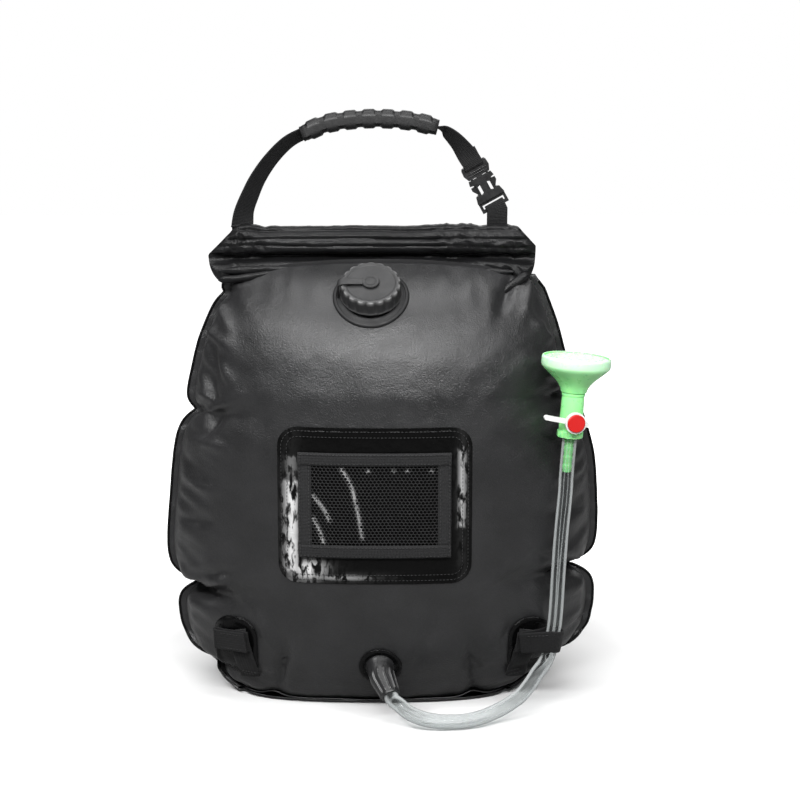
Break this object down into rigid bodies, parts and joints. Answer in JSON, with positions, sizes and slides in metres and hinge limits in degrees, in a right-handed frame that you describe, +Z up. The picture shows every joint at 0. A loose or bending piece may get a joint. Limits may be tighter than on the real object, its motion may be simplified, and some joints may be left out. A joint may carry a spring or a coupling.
{
  "type": "camp shower bag",
  "caption": "Roll-top hanging water bag with a screw filler cap, clear window with mesh pocket, bottom outlet, clear hose, valve and shower head, and a buckled carrying handle.",
  "frame": {"origin": "on the floor under the middle of the bag's base", "axes": "+Z up, +X to the viewer's right, -Y towards the viewer, where the window and the cap face"},
  "size_m": [0.4079, 0.2365, 0.5421],
  "materials": {
    "coated_fabric": "black coated fabric with a soft sheen",
    "webbing": "black woven webbing",
    "binding": "black woven binding tape",
    "net_fabric": "black knotted mesh",
    "clear_film": "clear glossy flexible film over black",
    "batten_plastic": "matte",
    "grip_rubber": "satin moulded grip",
    "black_plastic": "satin moulded",
    "cap_plastic": "satin, slightly flexible",
    "green_plastic": "satin mint green",
    "face_plastic": "satin pale green",
    "white_plastic": "satin white",
    "red_plastic": "satin red",
    "clear_vinyl": "clear flexible hose",
    "seal_rubber": "matte seal"
  },
  "bodies": {
    "bag": {"front_panel": "coated_fabric", "back_panel": "coated_fabric", "top_roll": "coated_fabric", "roll_stiffener": "batten_plastic", "strap_anchor_left": "webbing", "strap_anchor_right": "webbing", "filler_neck": "black_plastic", "tether_strap": "cap_plastic", "clear_window": "clear_film", "pocket_net": "net_fabric", "pocket_binding_top": "binding", "pocket_binding_bottom": "binding", "pocket_binding_left": "binding", "pocket_binding_right": "binding", "corner_patch_left": "coated_fabric", "corner_patch_right": "coated_fabric", "corner_leg_left": "webbing", "corner_leg_right": "webbing", "keeper_back_left": "webbing", "keeper_back_right": "webbing", "outlet_flange": "black_plastic", "outlet_nozzle": "black_plastic", "hose": "clear_vinyl", "valve_body": "green_plastic", "head_seal": "seal_rubber"},
    "cap_carrier": {"tether_eyelet": "cap_plastic"},
    "cap": {"filler_cap": "cap_plastic", "cap_gasket": "seal_rubber", "cap_rivet": "cap_plastic"},
    "valve": {"valve_lever": "white_plastic", "valve_knob": "red_plastic", "valve_retainer": "white_plastic"},
    "head": {"shower_head": "green_plastic", "shower_face": "face_plastic"},
    "keeper_left": {"keeper_flap_left": "webbing"},
    "keeper_right": {"keeper_flap_right": "webbing"},
    "handle": {"handle_webbing": "webbing", "hand_grip": "grip_rubber", "loop_strap": "webbing", "lower_strap": "webbing", "buckle_female": "black_plastic"},
    "plug": {"buckle_male": "black_plastic"},
    "prong_left_arm": {"prong_left": "black_plastic"},
    "prong_right_arm": {"prong_right": "black_plastic"}
  },
  "joints": [
    {"name": "cap_lift", "type": "slide", "parent": "bag", "child": "cap_carrier", "axis": [-0.0068, -0.62, 0.7846], "range_m": [0, 0.00675], "deforming": ["tether_strap"]},
    {"name": "cap_turn", "type": "hinge", "parent": "cap_carrier", "child": "cap", "pos_m": [-0.01, -0.05555, 0.378], "axis": [-0.0068, -0.62, 0.7846], "range_deg": [0, 540]},
    {"name": "valve_turn", "type": "hinge", "parent": "bag", "child": "valve", "pos_m": [0.169, -0.066, 0.2684], "axis": [0.1561, -0.9877, -0.0109], "range_deg": [0, 90]},
    {"name": "head_swivel", "type": "hinge", "parent": "bag", "child": "head", "pos_m": [0.169, -0.066, 0.2684], "axis": [0.0698, 0, 0.9976], "continuous": true},
    {"name": "keeper_open_left", "type": "hinge", "parent": "bag", "child": "keeper_left", "pos_m": [-0.1557, -0.05567, 0.06376], "axis": [0, 0.2127, -0.9771], "range_deg": [0, 100]},
    {"name": "keeper_open_right", "type": "hinge", "parent": "bag", "child": "keeper_right", "pos_m": [0.16374, -0.071, 0.06425], "axis": [0.1807, 0, 0.9835], "range_deg": [0, 100]},
    {"name": "handle_fold", "type": "hinge", "parent": "bag", "child": "handle", "pos_m": [0, 0, 0.4399], "axis": [1, 0, 0], "range_deg": [-80, 80]},
    {"name": "buckle_release", "type": "slide", "parent": "handle", "child": "plug", "axis": [-0.4848, 0, 0.8746], "range_m": [0, 0.02], "deforming": ["loop_strap", "prong_left", "prong_right"]},
    {"name": "prong_squeeze_left", "type": "hinge", "parent": "plug", "child": "prong_left_arm", "pos_m": [0.07926, 0, 0.4816], "axis": [0, -1, 0], "range_deg": [0, 9]},
    {"name": "prong_squeeze_right", "type": "hinge", "parent": "plug", "child": "prong_right_arm", "pos_m": [0.09273, 0, 0.48906], "axis": [0, 1, 0], "range_deg": [0, 9]}
  ],
  "couplings": [
    {"joint": "cap_lift", "follows": "cap_turn", "m_per_rad": 0.0007162},
    {"joint": "prong_squeeze_left", "follows": "buckle_release", "rad_per_m": 7.85},
    {"joint": "prong_squeeze_right", "follows": "buckle_release", "rad_per_m": 7.85}
  ]
}
